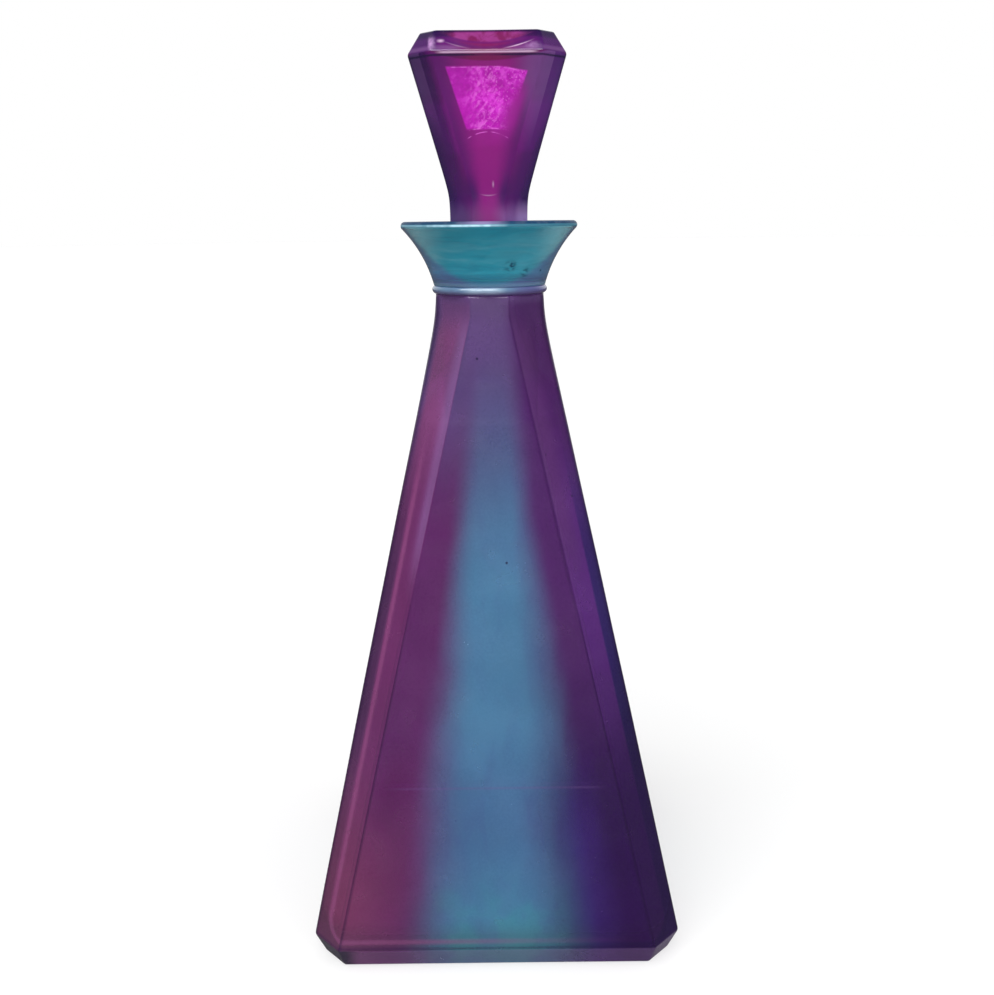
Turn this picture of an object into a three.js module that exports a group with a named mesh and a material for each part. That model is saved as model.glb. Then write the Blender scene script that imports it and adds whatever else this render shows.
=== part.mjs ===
// A tall glass carafe: a hollow square pyramid with cut corners, an applied thread of glass round its
// neck, a flared collar and a faceted stopper that lifts out. Millimetres, +Z up, with the origin at
// the middle of the face that the carafe rests on.
import * as THREE from "three";

// Driving dimensions of the body
const footWidth = 110.4; // across the flats of the resting face
const footFace = 96.4; // length of one main face at the foot, between two cut corners
const baseWidth = 116.6; // across the flats at the top of the bevel, the widest place
const baseFace = 99.4;
const bevelHeight = 7.6;
const shoulderHeight = 200; // where the straight flanks would meet the neck
const flankCrown = 0.3; // how far a flank swells outwards at half height
const neckLength = 8.7; // from the shoulder to the face that the collar stands on
const neckFace = 12;
const neckBlend = 1.5; // softness of the bend from the flanks into the neck
const uprightEdgeRadius = 1.2;
const neckEdgeRadius = 3;

// Driving dimensions of the hollow
const wallThickness = 3.2;
const floorThickness = 8;
const floorFillet = 8;
const hollowEdgeRadius = 6;
const throatHeight = 15; // over which the hollow closes in to the ground socket
const socketRelief = 2; // how far the socket runs on below the plug

// Driving dimensions of the ground joint
const plugDiameter = 23.2; // at its top
const plugLength = 28;
const plugTaper = 0.1; // loss of diameter per length, the usual one in ten
const plugTipChamfer = 0.8;
const groundClearance = 0.3;
const neckWall = 4.6; // glass round the top of the socket

// Driving dimensions of the thread of glass under the collar
const threadHeight = 2.6;
const threadStand = 1.65; // how far it stands proud of the neck
const threadSeatDepth = 0.4; // depth of the seat that it lies in
const threadGap = 0.3;

// Driving dimensions of the collar
const collarHeight = 19.3;
const collarStep = 1.1; // how far its foot stands proud of the neck
const rimOverhang = 11; // how far its rim reaches past the neck
const rimRadius = 1.3; // half the thickness of its wall
const flareRadius = 40;
const funnelFloor = 2.8; // height of the funnel's floor over the foot of the collar
const funnelFillet = 2.4;

// Driving dimensions of the stopper
const stemStand = 0.2; // how far the stem stands proud of the plug
const stemFace = 9.6;
const stemShow = 7.5; // length of the stem above the rim
const headHeight = 38.5; // from the stem to the widest place
const headWidth = 45.6;
const headFace = 32;
const crownHeight = 6; // of the bevel round the top
const crownWidth = 38;
const crownFace = 29.8;
const headBlend = 0.8;
const headEdgeRadius = 1;
const dishDiameter = 30;
const dishDepth = 3;

// Levels and radii that follow from them
const plugRadius = plugDiameter / 2;
const neckReach = plugRadius + groundClearance + neckWall;
const neckTop = shoulderHeight + neckLength;
const threadFoot = neckTop - threadHeight;
const rimTop = neckTop + collarHeight;
const plugTop = neckTop + funnelFloor;
const plugTip = plugTop - plugLength;
const socketFoot = plugTip - socketRelief;
const throatFoot = socketFoot - throatHeight;
const stemTop = rimTop + stemShow;
const headTop = stemTop + headHeight;
const crownTop = headTop + crownHeight;

// Half the length of a side of a regular eight-sided outline, for a reach of one
const regularFace = Math.SQRT2 - 1;
const distanceToCutCorner = (neckReach + neckFace / 2) / Math.SQRT2;
const threadSeatRadius = Math.min(neckReach, distanceToCutCorner) - threadSeatDepth;

// How finely round shapes are drawn
const pointsPerEdge = 6;
const roundSegments = 8 * pointsPerEdge;
const flankSteps = 7;
const bendSteps = 8;
const filletSteps = 5;
const throatSteps = 6;
const stemSteps = 4;
const headSteps = 6;
const dishSteps = 4;
const flareSteps = 9;
const rimSteps = 8;
const threadSteps = 8;

const mix = (from, to, share) => from + (to - from) * share;
const ease = (share) => share * share * (3 - 2 * share);
const plugRadiusAt = (z) => plugRadius - (plugTop - z) * (plugTaper / 2);
const socketRadiusAt = (z) => plugRadiusAt(z) + groundClearance;

// One level of a loft: z is its height, reach the distance from the axis to a main face, face half the
// length of that face and edge the radius of its eight upright edges.
const level = (z, reach, face, edge) => ({ z, reach, face, edge });
const roundLevel = (z, radius) => level(z, radius, radius * regularFace, radius);

// The points of one level, anticlockwise seen from above: eight corners, each drawn in by the edge
// radius and then rounded with it, so that a level can be faceted, soft or truly round.
function outline({ z, reach, face, edge }) {
  const a = reach - edge;
  const b = face - edge * regularFace;
  const corners = [[a, b], [b, a], [-b, a], [-a, b], [-a, -b], [-b, -a], [b, -a], [a, -b]];
  const points = [];
  corners.forEach(([x, y], corner) => {
    for (let step = 0; step < pointsPerEdge; step += 1) {
      const angle = (Math.PI / 4) * (corner + (step + 0.5) / pointsPerEdge);
      points.push([x + edge * Math.cos(angle), y + edge * Math.sin(angle), z]);
    }
  });
  return points;
}

// A closed solid through a list of levels, which runs up the outside, over the top and down any
// hollow, and is closed by a flat face at its first and its last level.
function loft(levels) {
  const rings = levels.map(outline);
  const count = rings[0].length;
  const first = rings.length * count;
  const positions = rings.flat(2);
  positions.push(0, 0, levels[0].z, 0, 0, levels[levels.length - 1].z);
  const faces = [];
  for (let j = 0; j < count; j += 1) {
    const next = (j + 1) % count;
    faces.push(first, next, j);
    for (let i = 0; i + 1 < rings.length; i += 1) {
      const low = i * count;
      const high = low + count;
      faces.push(low + j, low + next, high + next, low + j, high + next, high + j);
    }
    faces.push(first + 1, first - count + j, first - count + next);
  }
  const geometry = new THREE.BufferGeometry();
  geometry.setAttribute("position", new THREE.Float32BufferAttribute(positions, 3));
  geometry.setIndex(faces);
  geometry.computeVertexNormals();
  return geometry;
}

// A solid of revolution about Z from a closed profile of [radius, height] points.
function turned(profile) {
  const points = [...profile, profile[0]].map(([radius, z]) => new THREE.Vector2(radius, z));
  return new THREE.LatheGeometry(points, roundSegments).rotateX(Math.PI / 2);
}

// Points along an arc about a centre, from one angle to another, both ends included.
function arc([r, z], radius, from, to, steps) {
  return Array.from({ length: steps + 1 }, (_, step) => {
    const angle = mix(from, to, step / steps);
    return [r + radius * Math.cos(angle), z + radius * Math.sin(angle)];
  });
}

// Heights from low to high in equal steps, with the low end left out.
const heights = (low, high, steps) =>
  Array.from({ length: steps }, (_, step) => mix(low, high, (step + 1) / steps));

// A straight line of the flanks, bent softly into the value that the neck or stem keeps.
function bent(line, kept, softness) {
  const over = line - kept;
  return kept + (over + Math.hypot(over, softness)) / 2;
}

// The outside of the body at a height between the bevel and the neck.
function flankLevel(z) {
  const share = (z - bevelHeight) / (shoulderHeight - bevelHeight);
  const crown = flankCrown * 4 * Math.max(0, share * (1 - share));
  const reach = bent(mix(baseWidth / 2, neckReach, share) + crown, neckReach, neckBlend);
  const face = bent(mix(baseFace / 2, neckFace / 2, share) + crown, neckFace / 2, neckBlend);
  return level(z, reach, face, mix(uprightEdgeRadius, neckEdgeRadius, ease(Math.min(1, share))));
}

// The wall of the hollow at a height, one wall thickness inside the flanks and drawn in further by inset.
function hollowLevel(z, inset = 0) {
  const { reach, face } = flankLevel(Math.max(z, bevelHeight));
  const depth = wallThickness + inset;
  return level(z, reach - depth, face - depth * regularFace, hollowEdgeRadius);
}

function bodyGeometry() {
  const bendFoot = shoulderHeight - 2 * neckLength;
  const outside = [
    level(0, footWidth / 2, footFace / 2, uprightEdgeRadius),
    flankLevel(bevelHeight),
    ...heights(bevelHeight, bendFoot, flankSteps).map(flankLevel),
    ...heights(bendFoot, threadFoot, bendSteps).map(flankLevel),
  ];
  const seat = [
    roundLevel(threadFoot, threadSeatRadius),
    roundLevel(neckTop, threadSeatRadius),
    roundLevel(neckTop, socketRadiusAt(neckTop)),
    roundLevel(socketFoot, socketRadiusAt(socketFoot)),
  ];
  const throat = heights(socketFoot, throatFoot, throatSteps).map((z) => {
    const share = ease((socketFoot - z) / throatHeight);
    const narrow = roundLevel(z, socketRadiusAt(socketFoot));
    const wide = hollowLevel(z);
    return level(
      z,
      mix(narrow.reach, wide.reach, share),
      mix(narrow.face, wide.face, share),
      mix(narrow.edge, wide.edge, share),
    );
  });
  const filletTop = floorThickness + floorFillet;
  const hollow = heights(throatFoot, filletTop, flankSteps).map((z) => hollowLevel(z));
  const fillet = heights(0, Math.PI / 2, filletSteps).map((angle) =>
    hollowLevel(filletTop - floorFillet * Math.sin(angle), floorFillet * (1 - Math.cos(angle))),
  );
  return loft([...outside, ...seat, ...throat, ...hollow, ...fillet]);
}

function threadGeometry() {
  const inner = threadSeatRadius + threadGap;
  const bead = [neckReach + threadStand - threadHeight / 2, threadFoot + threadHeight / 2];
  const bow = arc(bead, threadHeight / 2, -Math.PI / 2, Math.PI / 2, threadSteps);
  return turned([[inner, threadFoot], ...bow, [inner, neckTop]]);
}

// The centre of the arcs of the flare: flareRadius from the collar's foot, and half a wall more from
// the middle of the rim, on the outer side of both.
function flareCentre([footR, footZ], [rimR, rimZ]) {
  const apart = Math.hypot(rimR - footR, rimZ - footZ);
  const far = flareRadius + rimRadius;
  const along = (flareRadius ** 2 - far ** 2 + apart ** 2) / (2 * apart);
  const aside = Math.sqrt(flareRadius ** 2 - along ** 2);
  const [dr, dz] = [(rimR - footR) / apart, (rimZ - footZ) / apart];
  return [footR + along * dr + aside * dz, footZ + along * dz - aside * dr];
}

function collarGeometry() {
  const foot = [neckReach + collarStep, neckTop];
  const rim = [neckReach + rimOverhang - rimRadius, rimTop - rimRadius];
  const centre = flareCentre(foot, rim);
  const angleOf = ([r, z]) => Math.atan2(z - centre[1], r - centre[0]);
  const rimAngle = angleOf(rim);
  const outer = arc(centre, flareRadius, angleOf(foot), rimAngle, flareSteps);
  const lip = arc(rim, rimRadius, rimAngle - Math.PI, rimAngle, rimSteps).slice(1);

  // The inner wall runs down beside the outer one, then rounds into the floor of the funnel.
  const innerRadius = flareRadius + 2 * rimRadius;
  const filletTop = plugTop + funnelFillet;
  const innerFoot = Math.PI - Math.asin((filletTop - centre[1]) / innerRadius);
  const inner = arc(centre, innerRadius, rimAngle, innerFoot, flareSteps).slice(1);
  const wallFoot = inner[inner.length - 1][0];
  const fillet = arc([wallFoot - funnelFillet, filletTop], funnelFillet, 0, -Math.PI / 2, filletSteps);
  return turned([
    [socketRadiusAt(neckTop), neckTop],
    ...outer,
    ...lip,
    ...inner,
    ...fillet.slice(1),
    [socketRadiusAt(plugTop), plugTop],
  ]);
}

function stopperGeometry() {
  const stemReach = plugRadius + stemStand;
  const plug = [
    roundLevel(plugTip, plugRadiusAt(plugTip) - plugTipChamfer),
    roundLevel(plugTip + plugTipChamfer, plugRadiusAt(plugTip + plugTipChamfer)),
    roundLevel(plugTop, plugRadius),
  ];
  // Inside the funnel the round plug turns into the eight-sided stem.
  const stem = heights(plugTop, rimTop, stemSteps).map((z) => {
    const share = ease((z - plugTop) / (rimTop - plugTop));
    return level(
      z,
      mix(plugRadius, stemReach, share),
      mix(plugRadius * regularFace, stemFace / 2, share),
      mix(plugRadius, headEdgeRadius, share),
    );
  });
  const head = heights(rimTop, headTop, 2 * headSteps).map((z) => {
    const share = (z - stemTop) / headHeight;
    const reach = bent(mix(stemReach, headWidth / 2, share), stemReach, headBlend);
    const face = bent(mix(stemFace, headFace, share) / 2, stemFace / 2, headBlend);
    return level(z, reach, face, headEdgeRadius);
  });
  const crown = level(crownTop, crownWidth / 2, crownFace / 2, headEdgeRadius);
  // The dish is part of a sphere, hollowed from its rim down to a small flat.
  const dishRadius = dishDiameter / 2;
  const sphere = (dishRadius ** 2 + dishDepth ** 2) / (2 * dishDepth);
  const dish = Array.from({ length: dishSteps }, (_, step) => {
    const radius = dishRadius * (1 - step / dishSteps);
    return roundLevel(crownTop - dishDepth + sphere - Math.sqrt(sphere ** 2 - radius ** 2), radius);
  });
  return loft([...plug, ...stem, ...head, crown, ...dish]);
}

// Sprayed and tinted glass: no metal, and smooth enough to shine.
function part(name, geometry, color, roughness) {
  const material = new THREE.MeshStandardMaterial({ name, color, roughness, metalness: 0 });
  const mesh = new THREE.Mesh(geometry, material);
  mesh.name = name;
  return mesh;
}

const carafe = new THREE.Group();
carafe.name = "carafe";
carafe.add(part("glass_body", bodyGeometry(), 0x5a3378, 0.22));
carafe.add(part("neck_thread", threadGeometry(), 0x5279a6, 0.15));
carafe.add(part("collar", collarGeometry(), 0x2f7f93, 0.18));
carafe.add(part("stopper", stopperGeometry(), 0x7b1f88, 0.12));

export default carafe;
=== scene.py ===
"""Looks of the glass carafe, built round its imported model: fine glass surfaces, colour coats and a studio.

Everything is in metres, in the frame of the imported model: the carafe stands on z = 0 with its axis on Z.
A surface here is a stack of rings, an array of shape (rings, points, 3), that runs up the outside of a
piece, over its top and down its inside. Rings are anticlockwise seen from above, so faces point outwards.
"""

import logging
import math
from dataclasses import dataclass, field
from enum import Enum

import bpy
import numpy as np
from mathutils import Matrix, Vector


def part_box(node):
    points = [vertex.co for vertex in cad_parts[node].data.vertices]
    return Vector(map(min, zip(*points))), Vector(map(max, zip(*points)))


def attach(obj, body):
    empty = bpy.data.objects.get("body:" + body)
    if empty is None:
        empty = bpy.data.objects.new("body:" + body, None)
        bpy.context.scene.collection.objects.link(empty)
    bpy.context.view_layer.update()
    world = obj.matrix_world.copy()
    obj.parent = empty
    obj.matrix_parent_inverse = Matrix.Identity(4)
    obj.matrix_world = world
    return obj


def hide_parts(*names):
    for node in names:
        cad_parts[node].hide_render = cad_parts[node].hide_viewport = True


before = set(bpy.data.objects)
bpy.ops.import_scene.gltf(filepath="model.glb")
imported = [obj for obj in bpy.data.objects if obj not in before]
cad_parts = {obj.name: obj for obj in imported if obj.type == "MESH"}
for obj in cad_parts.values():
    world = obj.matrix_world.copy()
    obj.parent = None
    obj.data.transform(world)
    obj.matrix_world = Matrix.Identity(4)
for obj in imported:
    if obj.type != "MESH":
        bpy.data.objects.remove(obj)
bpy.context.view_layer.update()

MM = 0.001
REGULAR_FACE = math.sqrt(2) - 1  # half a side of a regular eight-sided outline, for a reach of one
ARC_STEPS = 8  # along each of the eight upright edges
FACE_STEPS = 8  # along each of the eight faces
ROUND_STEPS = 192  # round a solid of revolution

log = logging.getLogger("carafe")

Colour = tuple[float, float, float]
Point = tuple[float, float, float]


class Region(Enum):
    """The stretches of a surface that have a finish of their own."""

    OUTSIDE = 0
    INSIDE = 1
    RIM = 2


class Blend(Enum):
    """How a colour is laid over another: some of a Mix node's ways of blending."""

    MIX = "MIX"
    ADD = "ADD"
    MULTIPLY = "MULTIPLY"
    SOFT_LIGHT = "SOFT_LIGHT"


class Run(Enum):
    """How a value gets from one to another: two of a Map Range node's interpolations."""

    SMOOTH = "SMOOTHSTEP"
    STRAIGHT = "LINEAR"


# Shapes: functions of a height and of a place along a ring


def mix(start: np.ndarray | float, end: np.ndarray | float, share: np.ndarray | float) -> np.ndarray:
    """The straight blend start + (end - start) * share."""
    return start + (end - start) * share


def ease(share: np.ndarray | float) -> np.ndarray:
    """The smooth blend of a share from 0 to 1: three squares less two cubes."""
    return share * share * (3 - 2 * share)


def bent(line: np.ndarray, kept: float, softness: float) -> np.ndarray:
    """A straight line that turns softly into a constant.

    It is kept + (over + sqrt(over squared + softness squared)) / 2, where over is line - kept.

    Args:
        line: The straight line's values.
        kept: The value that it turns into.
        softness: How wide the bend is.

    Returns:
        The bent values, of the same shape as line.
    """
    over = line - kept
    return kept + (over + np.hypot(over, softness)) / 2


def eight_sided(z: np.ndarray, reach: np.ndarray, face: np.ndarray, edge: np.ndarray) -> np.ndarray:
    """Rings with eight faces and rounded upright edges.

    A corner is drawn in by the edge radius: its centre is (reach - edge, face - edge * REGULAR_FACE), or
    those two swapped for every second corner, turned by a quarter for each pair. Round each centre the ring
    follows an eighth of a circle of that radius, and between two of these it is straight.

    Args:
        z: Heights of the rings.
        reach: Distances from the axis to a main face.
        face: Half the lengths of that face.
        edge: Radii of the upright edges.

    Returns:
        Points of shape (rings, points, 3).
    """
    z, reach, face, edge = np.broadcast_arrays(*map(np.atleast_1d, (z, reach, face, edge)))
    corner = np.arange(8)
    a = (reach - edge)[:, None]
    b = (face - edge * REGULAR_FACE)[:, None]
    first = np.where(corner % 2 == 0, a, b)
    second = np.where(corner % 2 == 0, b, a)
    quarter = corner // 2 * math.pi / 2
    centre_x = first * np.cos(quarter) - second * np.sin(quarter)
    centre_y = first * np.sin(quarter) + second * np.cos(quarter)
    angle = (corner[:, None] + np.linspace(0, 1, ARC_STEPS + 1)) * math.pi / 4
    radius = edge[:, None, None]
    x = along_faces(centre_x[:, :, None] + radius * np.cos(angle))
    y = along_faces(centre_y[:, :, None] + radius * np.sin(angle))
    return at_heights(x, y, z)


def at_heights(x: np.ndarray, y: np.ndarray, z: np.ndarray) -> np.ndarray:
    """Points of shape (rings, points, 3) from their two flat coordinates and the height of each ring."""
    return np.stack([x, y, np.broadcast_to(z[:, None], x.shape)], axis=2)


def along_faces(arcs: np.ndarray) -> np.ndarray:
    """Fills the straight stretch after each arc, closer together near its ends.

    Args:
        arcs: One coordinate of the arcs, of shape (rings, 8, points of an arc).

    Returns:
        That coordinate all the way round, of shape (rings, points).
    """
    share = ease(np.linspace(0, 1, FACE_STEPS + 1)[1:-1])
    end = arcs[:, :, -1:]
    start = np.roll(arcs[:, :, :1], -1, axis=1)
    return np.concatenate([arcs, mix(end, start, share)], axis=2).reshape(len(arcs), -1)


def circular(z: np.ndarray, radius: np.ndarray, arc_share: float = 0.6) -> np.ndarray:
    """Round rings with as many points as the eight-sided ones.

    The points that are an edge's on an eight-sided ring take arc_share of its eighth of the circle, and
    those of the faces take the rest.

    Args:
        z: Heights of the rings.
        radius: Their radii.
        arc_share: The share of the circle that the points of the edges take.

    Returns:
        Points of shape (rings, points, 3).
    """
    z, radius = np.broadcast_arrays(*map(np.atleast_1d, (z, radius)))
    arc = 0.5 + arc_share * (np.linspace(0, 1, ARC_STEPS + 1) - 0.5)
    rest = arc[-1] + (1 - arc_share) * ease(np.linspace(0, 1, FACE_STEPS + 1)[1:-1])
    angle = (np.arange(8)[:, None] + np.concatenate([arc, rest])).ravel() * math.pi / 4
    x = radius[:, None] * np.cos(angle)
    y = radius[:, None] * np.sin(angle)
    return at_heights(x, y, z)


def softened(rings: np.ndarray, cuts: dict[int, float], steps: int = 6) -> np.ndarray:
    """Rounds some of the bends of a stack of rings.

    A bend at a ring is replaced by the curve (1-t)^2 start + 2t(1-t) bend + t^2 end, where start and end
    lie the cut's distance before and after it on each line of points.

    Args:
        rings: The stack.
        cuts: For each ring to be rounded, how far from it the curve starts. A ring from the end of the
            stack has a negative number.
        steps: How many faces the curve has.

    Returns:
        The stack with more rings.
    """
    wanted = {ring % len(rings): cut for ring, cut in cuts.items()}
    share = np.linspace(0, 1, steps + 1)[:, None, None]
    made = []
    for i, bend in enumerate(rings):
        if i not in wanted:
            made.append(bend[None])
            continue
        back = rings[i - 1] - bend
        on = rings[i + 1] - bend
        start = bend + back * (wanted[i] / np.linalg.norm(back, axis=1, keepdims=True))
        end = bend + on * (wanted[i] / np.linalg.norm(on, axis=1, keepdims=True))
        made.append((1 - share) ** 2 * start + 2 * share * (1 - share) * bend + share**2 * end)
    return np.concatenate(made)


def turned(profile: np.ndarray, count: int) -> np.ndarray:
    """Rings of a solid of revolution: each point of the profile goes round the axis.

    Args:
        profile: Points of radius and height, of shape (rings, 2).
        count: Points of a ring.

    Returns:
        Points of shape (rings, count, 3).
    """
    angle = np.arange(count) * 2 * math.pi / count
    return at_heights(profile[:, :1] * np.cos(angle), profile[:, :1] * np.sin(angle), profile[:, 1])


def arc(centre: np.ndarray, radius: float, start: float, end: float, steps: int) -> np.ndarray:
    """Points of an arc, both ends included: centre + radius * (cos, sin) of angles in equal steps."""
    angle = np.linspace(start, end, steps + 1)
    return centre + radius * np.stack([np.cos(angle), np.sin(angle)], axis=1)


def rippled(rings: np.ndarray, height: float, length: float) -> np.ndarray:
    """Gives hand-worked glass its slow waves.

    Each point moves away from the axis by height times the mean of three sines of its place, whose
    directions and lengths differ, so that the waves have no grid.

    Args:
        rings: The stack.
        height: How far a point moves at most.
        length: The length of the waves.

    Returns:
        The stack with its points moved.
    """
    turn = 2 * math.pi / length
    ways = np.array([[1.0, 0.35, 0.3], [-0.4, 0.9, 0.55], [0.3, -0.6, 0.85]]) * turn
    wave = np.sin(rings @ ways.T + np.array([0.4, 1.7, 3.1])).mean(axis=2)
    outwards = rings[:, :, :2] / np.maximum(np.linalg.norm(rings[:, :, :2], axis=2, keepdims=True), MM)
    moved = rings.copy()
    moved[:, :, :2] += outwards * (height * wave)[:, :, None]
    return moved


# Meshes


def ring_faces(count: int, points: int, closed: bool) -> np.ndarray:
    """The four corners of each face between neighbouring rings, of shape (faces, 4).

    Args:
        count: How many rings there are.
        points: Points of a ring.
        closed: Whether the last ring is joined to the first.

    Returns:
        Numbers of the points.
    """
    low = np.arange(count if closed else count - 1)[:, None] * points
    high = (low + points) % (count * points)
    here = np.arange(points)
    there = (here + 1) % points
    return np.stack([low + here, low + there, high + there, high + here], axis=2).reshape(-1, 4)


def make_piece(
    name: str,
    rings: np.ndarray,
    materials: list[bpy.types.Material],
    regions: np.ndarray | None = None,
    closed: bool = False,
) -> bpy.types.Object:
    """Puts a stack of rings into a mesh object at the origin.

    A stack that isn't closed on itself is closed by a flat fan at each end.

    Args:
        name: The piece's name.
        rings: The stack, of shape (rings, points, 3).
        materials: One material for each region in use.
        regions: For each row of faces between two rings, the number of its region.
        closed: Whether the last ring is joined to the first.

    Returns:
        The object.
    """
    count, points, _ = rings.shape
    places = rings.reshape(-1, 3)
    quads = ring_faces(count, points, closed)
    rows = np.zeros(len(quads) // points, int) if regions is None else regions
    indices = np.repeat(rows, points)
    fans = np.zeros((0, 3), int)
    if not closed:
        middle = np.stack([rings[0].mean(axis=0), rings[-1].mean(axis=0)])
        first, last = len(places), len(places) + 1
        here = np.arange(points)
        there = (here + 1) % points
        low = np.stack([np.full(points, first), there, here], axis=1)
        high = np.stack([np.full(points, last), here, there], axis=1)
        high[:, 1:] += (count - 1) * points
        fans = np.concatenate([low, high])
        places = np.concatenate([places, middle])
        indices = np.concatenate([indices, np.repeat(rows[[0, -1]], points)])
    starts = np.concatenate([np.arange(len(quads)) * 4, quads.size + np.arange(len(fans)) * 3])
    mesh = bpy.data.meshes.new(name)
    mesh.vertices.add(len(places))
    mesh.vertices.foreach_set("co", places.astype(np.float32).ravel())
    mesh.loops.add(quads.size + fans.size)
    mesh.loops.foreach_set("vertex_index", np.concatenate([quads.ravel(), fans.ravel()]).astype(np.int32))
    mesh.polygons.add(len(starts))
    mesh.polygons.foreach_set("loop_start", starts.astype(np.int32))
    mesh.polygons.foreach_set("material_index", indices.astype(np.int32))
    mesh.polygons.foreach_set("use_smooth", np.ones(len(starts), bool))
    mesh.update(calc_edges=True)
    for material in materials:
        mesh.materials.append(material)
    piece = bpy.data.objects.new(name, mesh)
    bpy.context.scene.collection.objects.link(piece)
    return piece


def settle(piece: bpy.types.Object, body: str, node: str) -> None:
    """Rides a finished piece on its body in place of a CAD node.

    Args:
        piece: The piece.
        body: The CAD body that it moves with.
        node: The CAD node that it stands for.
    """
    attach(piece, body)
    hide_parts(node)
    low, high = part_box(node)
    corners = np.array([tuple(corner) for corner in piece.bound_box])
    off = max(np.abs(corners.min(axis=0) - low).max(), np.abs(corners.max(axis=0) - high).max())
    log.info("%s: %d faces, %.2f mm off the box of %s", piece.name, len(piece.data.polygons), off / MM, node)


# Materials


class Field:
    """A number, a vector or a colour that varies over a surface: a socket that can be reckoned with."""

    def __init__(self, shader: "Shader", socket: bpy.types.NodeSocket) -> None:
        """Keeps the shader and the socket."""
        self.shader = shader
        self.socket = socket

    def maths(self, operation: str, *others: "Value", clamp: bool = False) -> "Field":
        """The result of a Math node that has this as its first value."""
        values = dict(enumerate((self, *others)))
        return self.shader.result("ShaderNodeMath", values, operation=operation, use_clamp=clamp)

    def __add__(self, other: "Value") -> "Field":
        """The sum."""
        return self.maths("ADD", other)

    def __sub__(self, other: "Value") -> "Field":
        """The difference."""
        return self.maths("SUBTRACT", other)

    def __rsub__(self, other: float) -> "Field":
        """A number less this."""
        return self.maths("MULTIPLY_ADD", -1.0, other)

    def __mul__(self, other: "Value") -> "Field":
        """The product."""
        return self.maths("MULTIPLY", other)

    def __truediv__(self, other: "Value") -> "Field":
        """The quotient."""
        return self.maths("DIVIDE", other)

    def __abs__(self) -> "Field":
        """The value without its sign."""
        return self.maths("ABSOLUTE")

    def most(self, *others: "Value") -> "Field":
        """The greatest of this and some others.

        Args:
            others: The others.

        Returns:
            The greatest.
        """
        greatest = self
        for other in others:
            greatest = greatest.maths("MAXIMUM", other)
        return greatest

    def step(
        self, low: float, high: float, start: float = 0.0, end: float = 1.0, run: Run = Run.SMOOTH
    ) -> "Field":
        """This from low to high carried to a value from start to end, and held there beyond both.

        Args:
            low: Where the result is start.
            high: Where it is end. It may be the smaller of the two.
            start: The result at low.
            end: The result at high.
            run: How it gets there.

        Returns:
            The result.
        """
        values = {"Value": self, "From Min": low, "From Max": high, "To Min": start, "To Max": end}
        return self.shader.result("ShaderNodeMapRange", values, interpolation_type=run.value)

    def near(self, middle: float, width: float) -> "Field":
        """1 where this is the middle value, falling to 0 at a width from it."""
        return abs(self - middle).step(width, 0.0)

    def to(self, colour: "Input", share: "Value", how: Blend = Blend.MIX) -> "Field":
        """This colour with a share of another laid over it."""
        return self.shader.blend(share, self, colour, how)

    def layered(self, *layers: "Layer") -> "Field":
        """This colour with others laid over it in turn.

        Args:
            layers: For each of them the colour, its share and, where it isn't mixed in, how it is laid on.

        Returns:
            The colour.
        """
        colour = self
        for layer in layers:
            colour = colour.to(*layer)
        return colour

    def ramp(self, stops: dict[float, Colour]) -> "Field":
        """A colour that follows this value from stop to stop.

        Args:
            stops: For each value its colour.

        Returns:
            The colour.
        """
        node = self.shader.add("ShaderNodeValToRGB", {0: self})
        node.color_ramp.interpolation = "EASE"
        elements = node.color_ramp.elements
        while len(elements) < len(stops):
            elements.new(0.5)
        for element, (position, colour) in zip(elements, sorted(stops.items())):
            element.position = position
            element.color = (*colour, 1.0)
        return Field(self.shader, node.outputs[0])

    def parts(self) -> tuple["Field", ...]:
        """The three parts of this vector."""
        node = self.shader.add("ShaderNodeSeparateXYZ", {0: self})
        return tuple(Field(self.shader, socket) for socket in node.outputs)

    def axes(self) -> tuple["Field", ...]:
        """The three parts of this place, in millimetres."""
        return tuple(part / MM for part in self.parts())

    def stretched(self, flat: float, upright: float) -> "Field":
        """This vector with its two flat parts and its upright one multiplied."""
        return self.shader.result("ShaderNodeMapping", {"Vector": self, "Scale": (flat, flat, upright)})

    def tilted(self, angle: float) -> "Field":
        """This vector turned about Y."""
        values = {"Vector": self, "Angle": angle}
        return self.shader.result("ShaderNodeVectorRotate", values, rotation_type="Y_AXIS")

    def round_patch(self, middle: Point, radius: float) -> "Field":
        """1 near a point, falling to 0 at a radius from it."""
        node = self.shader.add("ShaderNodeVectorMath", {0: self, 1: middle}, operation="DISTANCE")
        return Field(self.shader, node.outputs["Value"]).step(radius, radius * 0.5)

    def noise(self, scale: float, detail: float = 2.0, warp: float = 0.0) -> "Field":
        """Soft noise from 0 to 1, about 0.5.

        Args:
            scale: How many waves a metre has.
            detail: How many finer layers there are.
            warp: How far it is pulled out of shape.

        Returns:
            The noise.
        """
        values = {"Vector": self, "Scale": scale, "Detail": detail, "Distortion": warp}
        return self.shader.result("ShaderNodeTexNoise", values)

    def specks(self, scale: float, size: float, share: float) -> "Field":
        """Small round specks.

        Args:
            scale: How many cells a metre has.
            size: The radius of a speck, as a share of a cell.
            share: The share of the cells that have one.

        Returns:
            1 in a speck, 0 elsewhere.
        """
        node = self.shader.add("ShaderNodeTexVoronoi", {"Vector": self, "Scale": scale})
        spot = Field(self.shader, node.outputs["Distance"]).step(size, size * 0.5)
        number = Field(self.shader, node.outputs["Color"]).parts()[0]
        return spot * number.maths("LESS_THAN", share)


Value = float | Field
Input = float | Colour | Point | Field
Layer = tuple[Input, Value] | tuple[Input, Value, Blend]  # a colour, its share and how it is blended


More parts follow.
